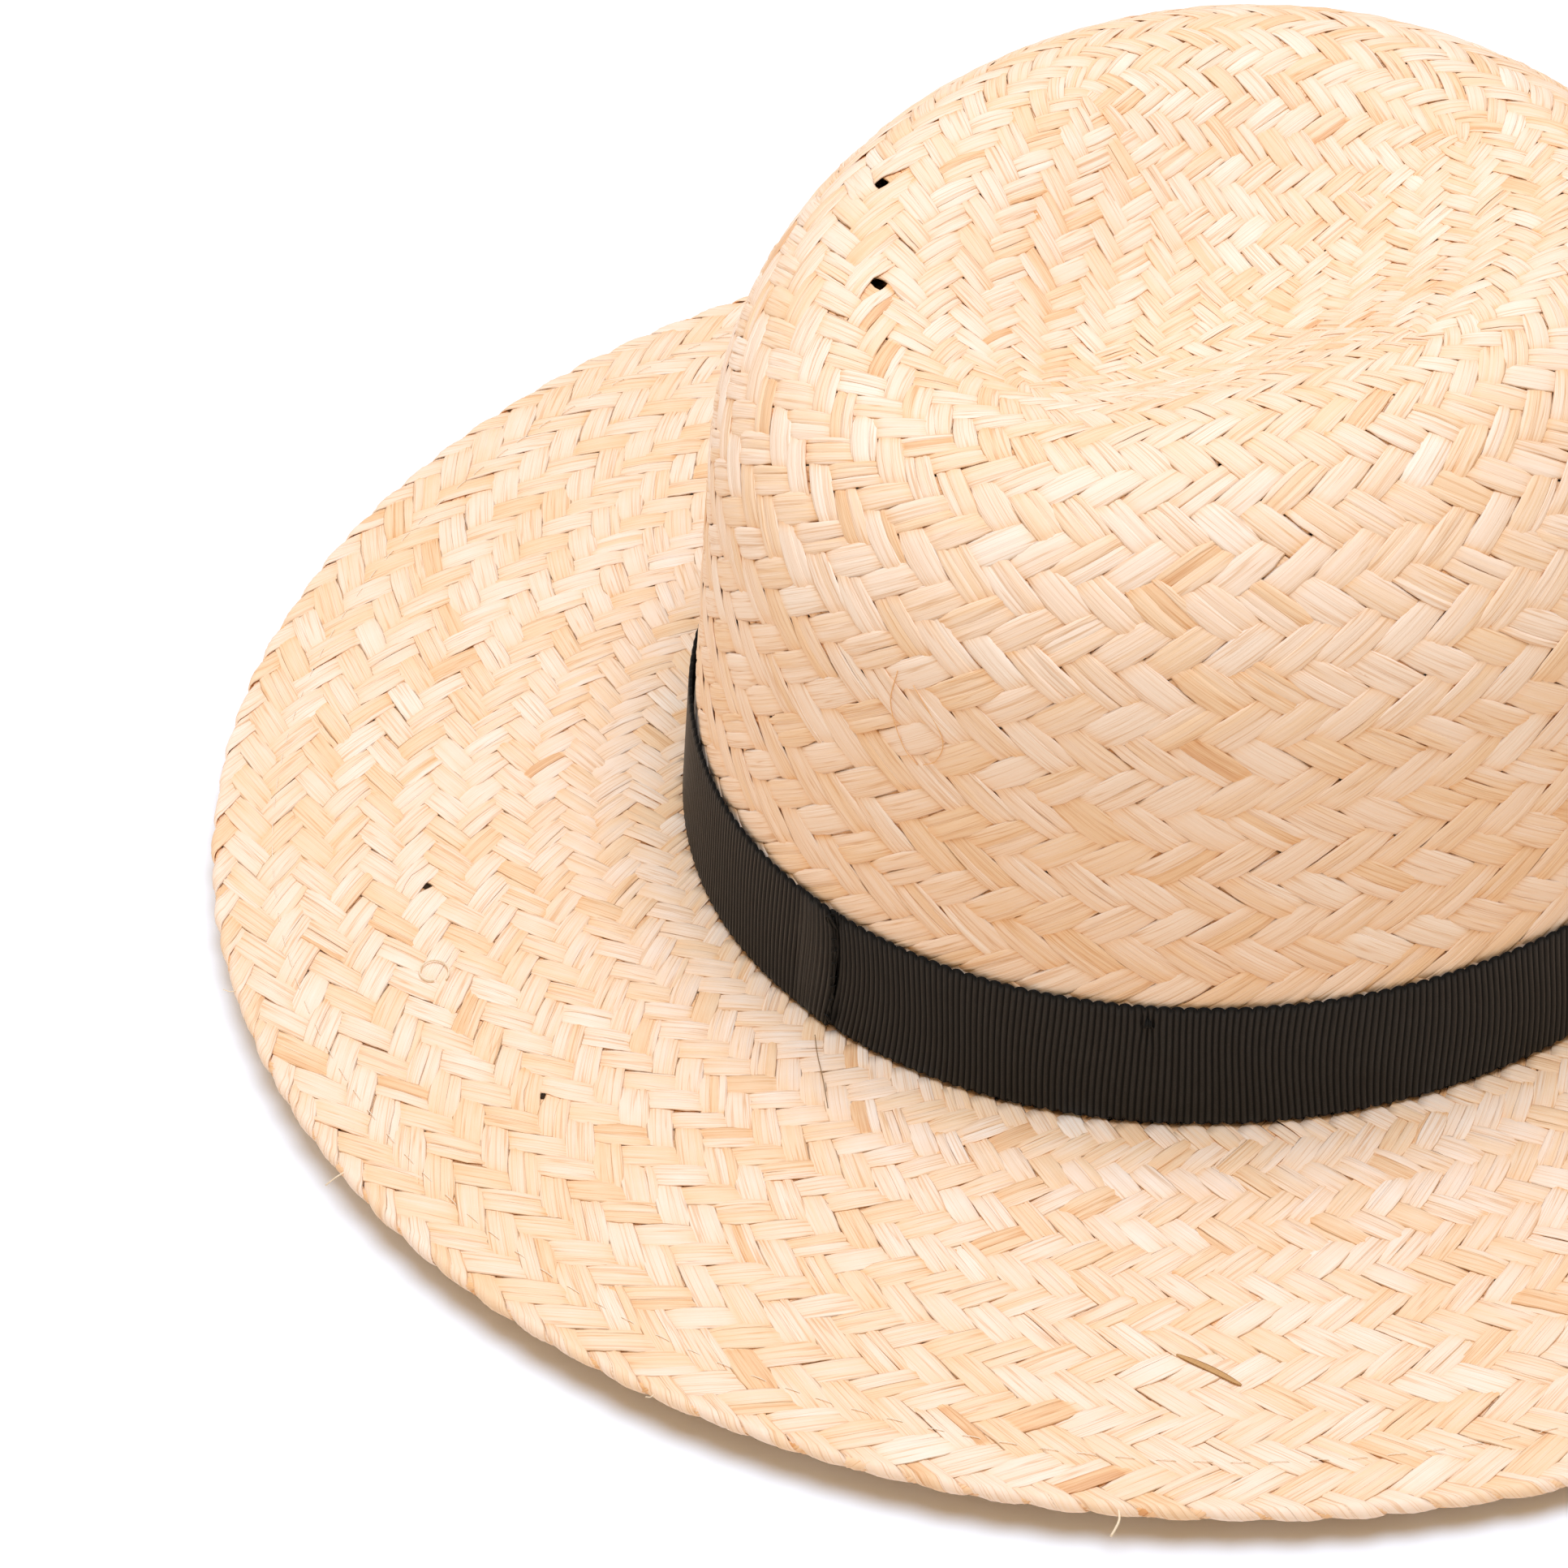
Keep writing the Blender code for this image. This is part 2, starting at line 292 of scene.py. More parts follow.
def crown_path(start):
    """Crossings of one strip up the wall, over the square middle and down again.

    Each is (number, ring, climbing): climbing strips lean one way and falling ones the other.
    """
    path = []
    place2 = start
    for ring in range(CROWN_RINGS, SIDE, -1):
        path.append((crown_crossing(ring, place2), ring, True))
        place2 += 1
    side, along = divmod(place2 % (8 * SIDE), 2 * SIDE)
    along -= SIDE
    ring, climbing = SIDE, True
    while True:
        path.append((ring_start(ring) + side * ring + (along + ring - 1) // 2, ring, climbing))
        if not climbing:
            if ring == SIDE:
                break
            ring, along = ring + 1, along + 1
        elif abs(along + 1) <= ring - 2:
            ring, along = ring - 1, along + 1
        else:
            side, along, climbing = (side + 1) % 4, 1 - ring, False
    place2 = 2 * SIDE * side + SIDE + along
    for ring in range(SIDE + 1, CROWN_RINGS + 1):
        place2 += 1
        path.append((crown_crossing(ring, place2), ring, False))
    return path


RIM_SHIFT = (SIDE - 1 + CROWN_RINGS) % 2    # of the crossings at the foot, in half strips


def crown_places(paths):
    """Where the crown's crossings lie, so that the cells between them are all near square."""
    count = ring_start(CROWN_RINGS + 1)
    rim = ring_start(CROWN_RINGS)
    turns = (np.arange(4 * SIDE) + 0.5 * RIM_SHIFT) / (4 * SIDE)
    places = np.zeros(count, complex)
    places[rim:] = np.exp(1j * (TURN * turns + CORNER_AT))
    balance = np.zeros((count, count))
    for path in paths:
        numbers = [number for number, _, _ in path]
        for one, two in zip(numbers, numbers[1:]):
            balance[one, two] -= 1.0
            balance[two, one] -= 1.0
    np.fill_diagonal(balance, -balance.sum(1))
    places[:rim] = np.linalg.solve(balance[:rim, :rim], -balance[:rim, rim:] @ places[rim:])
    return places


def twill(ring, leaning):
    """Whether a strip that leans this way is on top at this ring: over two, under two."""
    return leaning == ((ring // 2) % 2 == 0)


def crown_strips():
    """For each strip of the crown: its crossings' places and whether it is on top there."""
    paths = [crown_path(2 * start + RIM_SHIFT) for start in range(4 * SIDE)]
    places = crown_places(paths)
    return [(places[[number for number, _, _ in path]],
             np.array([twill(ring + 2, climbing) for _, ring, climbing in path]))
            for path in paths]


def brim_strips():
    """The same for the brim, from under the band, round the edge and back to the hem's end."""
    rings = np.arange(0, math.ceil(EDGE_RING + HEM_W / BRIM_STEP) + 1)
    strips = []
    for lean in (1, -1):
        for start in range(BRIM_STRIPS):
            strips.append((rings + 1j * (2 * start + lean * rings),
                           np.array([twill(ring, lean > 0) for ring in rings])))
    return strips


# ---- strips of straw as solid ribbons ----

TOP = np.array([0.0, 0.08, 0.26, 0.42, 0.58, 0.74, 0.92, 1.0])   # across a strip's upper face
BOTTOM = np.array([0.92, 0.08])


def new_piece(name, points, quads, ends=(), **attributes):
    """A smooth mesh object of quads, with a few larger faces for ends, and its attributes."""
    mesh = bpy.data.meshes.new(name)
    mesh.vertices.add(len(points))
    mesh.vertices.foreach_set("co", points.ravel())
    loops = np.concatenate([quads.ravel(), *ends]).astype(np.int32)
    sizes = np.array([4] * len(quads) + [len(end) for end in ends])
    mesh.loops.add(len(loops))
    mesh.loops.foreach_set("vertex_index", loops)
    mesh.polygons.add(len(sizes))
    starts = np.concatenate([[0], np.cumsum(sizes)[:-1]]).astype(np.int32)
    mesh.polygons.foreach_set("loop_start", starts)
    mesh.polygons.foreach_set("use_smooth", np.ones(len(sizes), bool))
    mesh.update(calc_edges=True)
    for key, values in attributes.items():
        vector = values.ndim == 2
        made = mesh.attributes.new(key, "FLOAT_VECTOR" if vector else "FLOAT", "POINT")
        made.data.foreach_set("vector" if vector else "value", values.ravel())
    obj = bpy.data.objects.new(name, mesh)
    bpy.context.scene.collection.objects.link(obj)
    return obj


class Heap:
    """Collects the vertices, faces and fibre coordinates of many ribbons for one piece."""

    def __init__(self):
        self.points, self.faces, self.fibre, self.tone, self.deep = [], [], [], [], []
        self.count = 0

    def add_loft(self, rings, fibre, tone, deep):
        """rings is (sections, around, 3); neighbours are joined and both ends closed."""
        sections, around = rings.shape[:2]
        base = self.count + around * np.arange(sections - 1)[:, None]
        here = np.arange(around)[None, :]
        after = (here + 1) % around
        quads = np.stack([base + here, base + after, base + around + after,
                          base + around + here], 2).reshape(-1, 4)
        last = self.count + around * (sections - 1)
        self.faces += [quads, cap(np.arange(around)[::-1] + self.count),
                       cap(np.arange(around) + last)]
        self.points.append(rings.reshape(-1, 3))
        self.fibre.append(fibre.reshape(-1, 3))
        self.tone.append(tone.reshape(-1))
        self.deep.append(deep.reshape(-1))
        self.count += sections * around

    def piece(self, name):
        return new_piece(name, np.concatenate(self.points), np.concatenate(self.faces),
                         fibre=np.concatenate(self.fibre), tone=np.concatenate(self.tone),
                         deep=np.concatenate(self.deep))


def cap(ring):
    """Quads that close a ring of an even number of vertices."""
    half = len(ring) // 2
    return np.stack([np.array([ring[k], ring[k + 1], ring[-k - 2], ring[-k - 1]])
                     for k in range(half - 1)])


def wander(rng, along, size, length):
    """A smooth random wave along a strip."""
    total = np.zeros_like(along)
    for harmonic in (1.0, 1.7, 2.9):
        total += np.sin(TURN * along * harmonic / length + rng.uniform(0.0, TURN)) / harmonic
    return size * total / 1.6


def catmull(values, where):
    """Values at whole numbers, read smoothly at the places between them."""
    at = np.clip(np.floor(where).astype(int), 0, len(values) - 2)
    t = where - at
    before = values[np.maximum(at - 1, 0)]
    one, two = values[at], values[at + 1]
    beyond = values[np.minimum(at + 2, len(values) - 1)]
    if values.ndim == 2:
        at, t = at[:, None], t[:, None]
    before = np.where(at == 0, 2 * one - two, before)
    beyond = np.where(at == len(values) - 2, 2 * two - one, beyond)
    return 0.5 * (2 * one + (two - before) * t + (2 * before - 5 * one + 4 * two - beyond) * t ** 2
                  + (3 * one - before - 3 * two + beyond) * t ** 3)


# Where a strip is cut between two crossings: as it dives, runs level, or folds at the edge.
DIVE = np.array([0.0, 0.22, 0.42, 0.62, 0.82])
LEVEL = np.array([0.0, 0.5])
ROUND = np.arange(10) / 10.0


def samples_along(over, fold_at):
    """Places along a strip to cut sections at: close together where it dives or folds."""
    where = []
    for step in range(len(over) - 1):
        if fold_at is not None and abs(step + 0.5 - fold_at) < 1.2:
            cuts = ROUND
        else:
            cuts = LEVEL if over[step] == over[step + 1] else DIVE
        where.extend(step + cuts)
    where.append(len(over) - 1.0)
    return np.array(where)


def height_along(over, where):
    """Height of a strip's middle over the middle of the weave, and how near it is to a dive.

    A dive takes four fifths of the way between two crossings.
    """
    at = np.clip(np.floor(where).astype(int), 0, len(over) - 2)
    t = where - at
    level = np.where(over, 1.0, -1.0)
    ease = np.clip((t - 0.10) / 0.80, 0.0, 1.0)
    ease = ease * ease * (3.0 - 2.0 * ease)
    same = level[at] == level[at + 1]
    arch = np.where(same, level[at] * FLOAT_ARCH * np.sin(math.pi * t), 0.0)
    dive = np.where(same, 0.0, np.sin(math.pi * t))
    return WEAVE_AMP * (level[at] + (level[at + 1] - level[at]) * ease) + arch, dive


def leaves_for(rng):
    """The leaves of a strip: (left, right, lift) of each, -1 to 1 across.

    Two strips in five have one leaf, one in seven has three, and the others have two.
    """
    kind = rng.random()
    if kind < 0.40:
        return [(-1.0, 1.0, 0.0)]
    split = rng.uniform(-0.1, 0.62) * rng.choice([-1.0, 1.0])
    low, high = (0.0, 1.0) if rng.random() < 0.5 else (1.0, 0.0)
    if kind < 0.86:
        return [(-1.0, split + 0.10, low), (split - 0.06, 1.0, high)]
    second = split - 0.7 if split > 0 else split + 0.7
    first, second = min(split, second), max(split, second)
    return [(-1.0, first + 0.08, 0.5),
            (first - 0.05, second + 0.08, 0.0),
            (second - 0.05, 1.0, 1.0)]


def pushed_aside(points, side, holes):
    """How far a strip moves sideways near the places where the weave has been pulled open."""
    moved = np.zeros(len(points))
    for place, reach, push in holes:
        offset = np.array(place) - points
        near = np.exp(-(np.linalg.norm(offset, axis=1) / reach) ** 2)
        moved -= np.sign((offset * side).sum(1)) * push * near
    return moved


def add_strip(heap, rng, surface, places, over, fill, relief, holes, fold_at):
    """One strip of straw through its crossings, as one to three overlapping leaves.

    surface turns places into points and normals; over says where the strip is on top.
    """
    where = samples_along(over, fold_at)
    middle = catmull(places, where)
    lateral = 0.5j * catmull(np.gradient(places), where)
    centre = surface(middle)[0]
    width = surface(middle + lateral)[0] - surface(middle - lateral)[0]
    half = 0.5 * np.linalg.norm(width, axis=1)
    run = np.concatenate([[0.0], np.cumsum(np.linalg.norm(np.diff(centre, axis=0), axis=1))])
    height, dive = height_along(over, where)
    thin = relief * np.clip(half / FULL_HALF, 0.4, 1.0)
    height = height * thin
    stretches = np.concatenate([[0], np.cumsum(np.diff(over.astype(int)) != 0)])
    count = stretches[-1] + 1
    nearest = np.round(where).astype(int)
    uneven = catmull(rng.normal(0.0, 1.0, (2, count))[:, stretches].T, where)
    filled = fill * (1.0 - DIVE_NARROWING * dive) * (
        1.0 + wander(rng, run, WIDTH_WAVE, 16.0 * MM) + WIDTH_SPREAD * uneven[:, 0])
    shift = wander(rng, run, SHIFT_WAVE, 50.0 * MM) + SHIFT_SPREAD * uneven[:, 1]
    shift = shift + pushed_aside(centre, unit(width), holes) / half
    strip_tone = rng.normal(STRIP_TONE, STRIP_TONE_SPREAD)
    fold_own = rng.uniform(0.5, 1.2)
    strip_seed = rng.uniform(0.0, 40.0)
    for left, right, lift in leaves_for(rng):
        tones = np.clip(rng.normal(strip_tone, LEAF_TONE_SPREAD, count), 0.02, 0.98)
        brown = rng.random(count) < BROWN_SHARE
        tones[brown] = rng.uniform(*BROWN_TONES, brown.sum())
        sway = wander(rng, run, LEAF_SWAY, 50.0 * MM)
        low = (left + sway * (left > -1.0))[:, None]
        high = (right + sway * (right < 1.0))[:, None]
        wide = high - low
        across = low + wide * np.concatenate([TOP, BOTTOM])
        across = across * filled[:, None] + shift[:, None]
        place = middle[:, None] + lateral[:, None] * across
        base, normal = surface(place.ravel())
        base, normal = base.reshape(*place.shape, 3), normal.reshape(*place.shape, 3)
        crown = CAMBER * (1.0 - (2.0 * TOP - 1.0) ** 2) * np.sqrt(wide / 2.0)
        crease = np.stack([wander(rng, run, CREASE, 20.0 * MM) for _ in TOP], 1)
        crease[:, [0, -1]] = -0.5 * STRIP_SKIN
        upper = STRIP_SKIN / 2.0 + (crown + crease) * thin[:, None]
        lower = np.full((len(run), 2), -STRIP_SKIN / 2.0)
        tilt = rng.uniform(-LEAF_TILT, LEAF_TILT)
        z = np.concatenate([upper, lower], 1) + height[:, None] + LEAF_LIFT * lift + tilt * across
        if fold_at is not None:
            near = np.exp(-((place.real - fold_at) / 0.45) ** 2)
            z += FOLD_BULGE * fold_own * near * (0.7 - across ** 2 + 0.6 * across)
        seed = rng.uniform(0.0, 40.0)
        fibre = np.stack([run[:, None] + 0.0 * across, across * half[:, None],
                          0.0 * across + strip_seed + seed], 2)
        tone = tones[stretches[nearest]][:, None] + 0.0 * across
        facing = np.array([1.0] * len(TOP) + [-1.0] * len(BOTTOM))
        # painted shade: faces that lie low in the weave, under other strips, are darkened
        deep = np.clip(0.5 - 0.5 * height[:, None] * facing / WEAVE_AMP, 0.0, 1.0)
        heap.add_loft(base + normal * z[..., None], fibre, tone, deep)


def weave_pieces(name, strips, surface, pieces, fill, relief, fold_at, seed, holes):
    """All strips of one surface, dealt out to a few pieces so that none is too heavy."""
    rng = np.random.default_rng(seed)
    heaps = [Heap() for _ in range(pieces)]
    for number, (places, over) in enumerate(strips):
        heap = heaps[number % pieces]
        add_strip(heap, rng, surface, places, over, fill, relief, holes, fold_at)
    return [heap.piece(f"{name}_{number}") for number, heap in enumerate(heaps, 1)]


# ---- ribbons and threads ----

def ring_point(radius, angle, height):
    """Points on the hat from arrays of radius, angle and height round the crown."""
    flat = np.stack([radius * np.cos(angle), radius * np.sin(angle), height], -1)
    return set_on_head(flat.reshape(-1, 3)).reshape(flat.shape)


def grid_faces(rows, columns, closed):
    """Quads of a grid whose columns run round; rows wrap into a closed section."""
    last = columns if closed else columns - 1
    row = np.arange(rows)[:, None]
    column = np.arange(last)[None, :]
    next_row, next_column = (row + 1) % rows, (column + 1) % columns
    corners = [row * columns + column, row * columns + next_column,
               next_row * columns + next_column, next_row * columns + column]
    return np.stack(corners, 2).reshape(-1, 4)


def grosgrain(name, start, sweep, foot, tall, stand_off, skin, pitch, rib, outward, bend=None):
    """A ribbon on the wall, with ribs across it and an edge that swells at every second rib.

    rib is the ribs' depth, outward says that they face out, and bend moves the points.
    """
    closed = sweep >= TURN - 1e-9
    ribs = max(2, 2 * round(sweep * CROWN_R / pitch / 2.0))
    per_rib = 6
    columns = ribs * per_rib + (0 if closed else 1)
    turn = np.arange(columns) / (ribs * per_rib)
    front = np.array([0.0, 0.008, 0.03, 0.08, 0.2, 0.35, 0.5, 0.65, 0.8, 0.92, 0.97, 0.992, 1.0])
    back = front[::-4]
    share = np.concatenate([front, back])[:, None]
    face = np.concatenate([np.ones(len(front)), np.zeros(len(back))])[:, None]
    phase = turn * ribs
    round_rib = np.abs(np.cos(math.pi * phase)) ** 0.7
    scallop = SCALLOP * (np.abs(np.cos(math.pi * phase / 2.0)) ** 0.7 - 0.6)
    edge_soft = np.minimum(1.0, np.minimum(share, 1.0 - share) / 0.03) ** 0.5
    angle = start + sweep * turn + 0.0 * share
    height = foot + tall * share + (2.0 * share - 1.0) * scallop
    lean = (0.42 * np.sin(5.0 * angle + 1.1) * np.sin(math.pi * share)
            + 0.30 * np.sin(11.0 * angle + 4.2 * share))
    angle = angle + lean * pitch / CROWN_R
    depth = skin * face * (0.55 + 0.45 * edge_soft) + face * rib * edge_soft * (round_rib - 1.0)
    out = stand_off + (depth if outward else -depth)
    if bend is not None:
        angle, height, out = bend(angle, height, out, face)
    points = ring_point(wall_radius(height) + out, angle, height)
    faces = grid_faces(len(share), columns, closed)
    ends = []
    if not closed:
        loop = np.arange(len(share)) * columns
        ends = [loop[::-1], loop + columns - 1]
    if outward:
        faces = faces[:, ::-1]
    else:
        ends = [end[::-1] for end in ends]
    coords = np.stack([angle * CROWN_R, height, 0.0 * angle], 2)
    ridge = round_rib * edge_soft
    return new_piece(name, points.reshape(-1, 3), faces, ends, fibre=coords.reshape(-1, 3),
                     ridge=ridge.ravel())


def band_bend(angle, height, out, face):
    """The band's own unevenness: slack waves, the seam's groove, and the pinch at each tack."""
    out = out + BAND_SLACK * (1.0 + np.sin(7.0 * angle) * np.sin(3.0 * angle + 0.5))
    off = (angle - SEAM) * CROWN_R
    bow = np.exp(-(off / (7.0 * MM)) ** 2) * np.sin(math.pi * height / BAND_H)
    groove = np.exp(-((off - 0.9 * MM) / (0.8 * MM)) ** 2)
    out = out - SEAM_GROOVE * groove * face
    angle = angle + SEAM_BOW * bow / CROWN_R
    for tack in TACKS:
        across = (angle - tack) * CROWN_R
        below = height - (GAP + BAND_H - TACK_DROP)
        pull = np.exp(-(across / (1.6 * MM)) ** 2 - (below / (2.2 * MM)) ** 2)
        out = out - TACK_PULL * pull * face
        angle = angle - 0.45 * across * pull / CROWN_R
    return angle, height, out


def lap_bend(angle, height, out, face):
    """The lapped end rises from the band's level to a folded free edge."""
    share = np.clip((angle - (SEAM - LAP_W / CROWN_R)) / (LAP_W / CROWN_R), 0.0, 1.0)
    rise = LAP_RISE * share ** 1.4
    tuck = np.clip((share - 0.93) / 0.07, 0.0, 1.0)
    edge = (0.16 * np.sin(height / (1.3 * MM)) + 0.22 * np.sin(height / (3.1 * MM))) * MM
    edge = edge * share ** 6
    bow = SEAM_BOW * share * np.sin(math.pi * height / BAND_H)
    out = out + rise - LAP_TUCK * tuck ** 2 + 0.6 * edge
    return angle + (edge + bow) / CROWN_R, height, out


def tube(heap, points, radius, sides=6):
    """A thread along the points, closed at both ends."""
    points = np.asarray(points, float)
    tangent = unit(np.gradient(points, axis=0))
    side = np.cross(tangent[0], [0.3, 0.2, 1.0])
    rings, fibre = [], []
    run = 0.0
    for number, (point, way) in enumerate(zip(points, tangent)):
        side = side - way * np.dot(side, way)
        side = side / np.linalg.norm(side)
        other = np.cross(way, side)
        turn = TURN * np.arange(sides) / sides
        spoke = np.outer(np.cos(turn), side) + np.outer(np.sin(turn), other)
        rings.append(point + radius * spoke)
        if number:
            run += np.linalg.norm(point - points[number - 1])
        fibre.append(np.stack([0.0 * turn + run, radius * turn, 0.0 * turn], 1))
    flat = np.zeros((len(points), sides))
    heap.add_loft(np.array(rings), np.array(fibre), flat, flat)


def smooth_line(knots, steps=8):
    """A smooth curve through a few knots."""
    knots = np.asarray(knots, float)
    where = np.linspace(0.0, len(knots) - 1.0, steps * (len(knots) - 1) + 1)
    return np.stack([catmull(knots[:, axis], where) for axis in range(3)], 1)


def band_point(along, height, off):
    """A point on the band's face: way along it from the seam, height up the wall, stand-off."""
    angle = np.array(SEAM + along / CROWN_R)
    return ring_point(wall_radius(height) + GAP + BAND_SKIN + off, angle, np.array(height))


def seam_point(along, height, off):
    """A point near the seam, which bows a little across the band."""
    return band_point(along + SEAM_BOW * math.sin(math.pi * height / BAND_H), height, off)


def seam_stitches():
    """Hand stitches over the lap's folded edge, with a knot at its top and one at its foot."""
    heap = Heap()
    rng = np.random.default_rng(SEAM_SEED)
    for height in np.array([0.26, 0.38, 0.47, 0.60, 0.69, 0.80]) * BAND_H:
        slant = rng.uniform(0.2, 0.7) * MM
        reach = rng.uniform(0.25, 0.5) * MM
        knots = [seam_point(-reach, height, 0.45 * MM),
                 seam_point(0.0, height + slant / 2.0, 0.62 * MM),
                 seam_point(0.45 * MM, height + slant, 0.0 * MM)]
        tube(heap, smooth_line(knots, 4), 0.10 * MM)
    loops = 3
    for foot, tall, wide in ((GAP + BAND_H - 2.9 * MM, 2.9 * MM, 0.95 * MM),
                             (GAP + 0.3 * MM, 2.6 * MM, 0.6 * MM)):
        for loop in range(loops):
            swing = wide * (loop + 1.0) / loops * rng.uniform(0.8, 1.1)
            lean = rng.uniform(-0.35, 0.35) * MM
            knots = [seam_point(-swing, foot, 0.2 * MM),
                     seam_point(-0.9 * swing + lean, foot + 0.75 * tall, 0.9 * MM),
                     seam_point(lean, foot + tall * rng.uniform(0.95, 1.05), 1.0 * MM),
                     seam_point(0.8 * swing + lean, foot + 0.7 * tall, 0.8 * MM),
                     seam_point(0.7 * swing, foot + 0.1 * tall, 0.1 * MM)]
            tube(heap, smooth_line(knots, 5), rng.uniform(0.12, 0.17) * MM)
    rises = 16
    edge = [seam_point((0.15 + 0.14 * math.sin(1.9 * step)) * MM,
                       GAP + 0.8 * MM + (BAND_H - 1.4 * MM) * step / rises,
                       (0.22 + 0.16 * math.sin(2.7 * step)) * MM)
            for step in range(rises + 1)]
    tube(heap, smooth_line(edge, 4), 0.15 * MM)
    return heap.piece("hatband_seam_stitches")


def tack_stitches(number, angle):
    """A few short passes of thread in one place that hold the band's edge."""
    heap = Heap()
    rng = np.random.default_rng(TACK_SEED + number)
    middle = GAP + BAND_H - TACK_DROP
    off = (angle - SEAM) * CROWN_R
    for strand in range(TACK_STRANDS):
        across = (strand - TACK_STRANDS // 2) * 0.22 * MM + rng.uniform(-0.08, 0.08) * MM
        rise = rng.uniform(0.7, 1.15) * MM
        knots = [band_point(off + across, middle - rise, -0.65 * MM),
                 band_point(off + across * 1.1, middle - 0.6 * rise, 0.02 * MM),
                 band_point(off + across * 0.8, middle + 0.2 * rise, 0.14 * MM),
                 band_point(off + across * 0.6, middle + rise, -0.55 * MM)]
        tube(heap, smooth_line(knots, 4), 0.11 * MM)
    return heap.piece(f"hatband_tack_stitches_{number}")


def hem_stitches():
    """Clear running stitch that holds the folded hem, dipping into the weave."""
    heap = Heap()
    rng = np.random.default_rng(HEM_SEED)
    radius = BRIM_R - STITCH_IN
    step = TURN / HEM_STITCHES
    for number in range(HEM_STITCHES):
        start = step * (number + rng.uniform(-0.08, 0.08))
        turn = start + 0.62 * step * np.linspace(0.0, 1.0, 7)
        dip = np.array([-0.6, -0.05, 0.05, 0.07, 0.05, -0.05, -0.6]) * MM
        z = brim_top_z(radius, turn) + BRIM_MID + WEAVE_AMP + STRIP_SKIN + CAMBER + dip
        knots = np.stack([(radius - OVAL) * np.cos(turn), (radius + OVAL) * np.sin(turn), z], 1)
        tube(heap, knots, HEM_THREAD_R, 5)
    return heap.piece("brim_hem_stitches")


def sweat_stitches():
    """Running stitch round the sweatband's foot, left out where its lap is."""
    heap = Heap()
    lap_half = SWEAT_LAP_W / CROWN_R / 2.0
    clear = 3.3 * MM / CROWN_R
    for number in range(SWEAT_STITCHES):
        turn = TURN * (number + 0.7 * np.linspace(0.0, 1.0, 6)) / SWEAT_STITCHES
        from_lap = (turn[0] - SWEAT_LAP - lap_half + math.pi) % TURN - math.pi
        if abs(from_lap) < lap_half + clear:
            continue
        dip = np.array([0.5, 0.0, -0.12, -0.12, 0.0, 0.5]) * MM
        height = SWEAT_THREAD_H + 0.0 * turn
        radius = wall_radius(height) - SWEAT_IN - SWEAT_SKIN - 0.05 * MM + dip
        tube(heap, ring_point(radius, turn, height), SWEAT_THREAD_R, 5)
    return heap.piece("sweatband_stitches")


def on_brim(x, y, lift):
    """A point just over the brim's weave, under or beside the fibres that lie on it."""
    angle = math.atan2(y, x)
    radius = math.hypot(x / (1.0 - OVAL / BRIM_R), y / (1.0 + OVAL / BRIM_R))
    return [x, y, float(brim_top_z(radius, angle)) - 0.30 * MM + lift]


def on_crown(degrees, up, lift):
    """A point over the crown's weave: direction round the crown and way up from its foot."""
    rings = (up - FOOT_CLEAR) / CROWN_STEP
    place = np.array([np.exp(1j * math.radians(degrees) - rings / SPIRAL)])
    middle, normal = crown_weave(place)
    return (middle + normal * (WEAVE_AMP + CAMBER + STRIP_SKIN + lift))[0]


def blade(heap, start, end, width, skin, bend):
    """A flat splinter that lies on the brim, narrowed at both blunt ends."""
    start, end = np.array(start), np.array(end)
    way = unit((end - start)[None])[0]
    side = np.cross([0.0, 0.0, 1.0], way)
    share = np.linspace(0.0, 1.0, 15)[:, None]
    middle = start + (end - start) * share + side * bend * np.sin(math.pi * share)
    half = 0.5 * width * np.maximum(np.sin(math.pi * share), 0.06) ** 0.4
    across = half * np.array([-1.0, -0.5, 0.5, 1.0, 0.5, -0.5])
    rise = np.array([0.0, 1.0, 1.0, 0.0, -0.6, -0.6]) * skin + 0.0 * across
    rings = middle[:, None] + side * across[..., None] + np.array([0.0, 0.0, 1.0]) * rise[..., None]
    run = SPLINTER_L * share + 0.0 * across
    flat = 0.0 * across
    heap.add_loft(rings, np.stack([run, across, flat], 2), flat, flat)


def rim_end(degrees, reach, rise, radius):
    """The line and the radius of one straw end that stands out of the rim."""
    way = math.radians(degrees)
    out = np.array([math.cos(way), math.sin(way), 0.0])
    side = np.array([-out[1], out[0], 0.0])
    root = np.array([(BRIM_R - OVAL) * out[0], (BRIM_R + OVAL) * out[1], BRIM_EDGE_Z - 1.0 * MM])
    knots = [root - 0.6 * MM * out,
             root + 0.5 * reach * out + 0.1 * reach * side,
             root + reach * out - 0.1 * reach * side + [0.0, 0.0, rise]]
    return smooth_line(knots), radius


def stray_straw():
    """Pale straw ends at the rim, and one loose curl on the brim."""
    heap = Heap()
    for end in RIM_ENDS:
        tube(heap, *rim_end(*end))
    curl = [on_brim(CURL_AT[0] + CURL_SIZE[0] * math.cos(turn) * (1.0 - 0.05 * turn),
                    CURL_AT[1] + CURL_SIZE[1] * math.sin(turn),
                    (0.15 + 0.45 * math.sin(turn / 2.0)) * MM)
            for turn in np.linspace(0.4, 5.9, 14)]
    tube(heap, smooth_line(curl, 4), CURL_R)
    return heap.piece("stray_straw_ends")


def stray_amber():
    """Two fine amber fibres that lie on the crown."""
    heap = Heap()
    for knots in AMBER_LINES:
        line = [on_crown(degrees, up, 0.1 * MM) for degrees, up in knots]
        tube(heap, smooth_line(line), AMBER_R)
    return heap.piece("stray_amber_fibres")


def stray_splinter():
    """A brown splinter on the brim."""
    heap = Heap()
    start, end = [on_brim(x, y, 0.12 * MM) for x, y in SPLINTER_ENDS]
    blade(heap, start, end, SPLINTER_W, SPLINTER_SKIN, 0.3 * MM)
    return heap.piece("stray_brown_splinter")


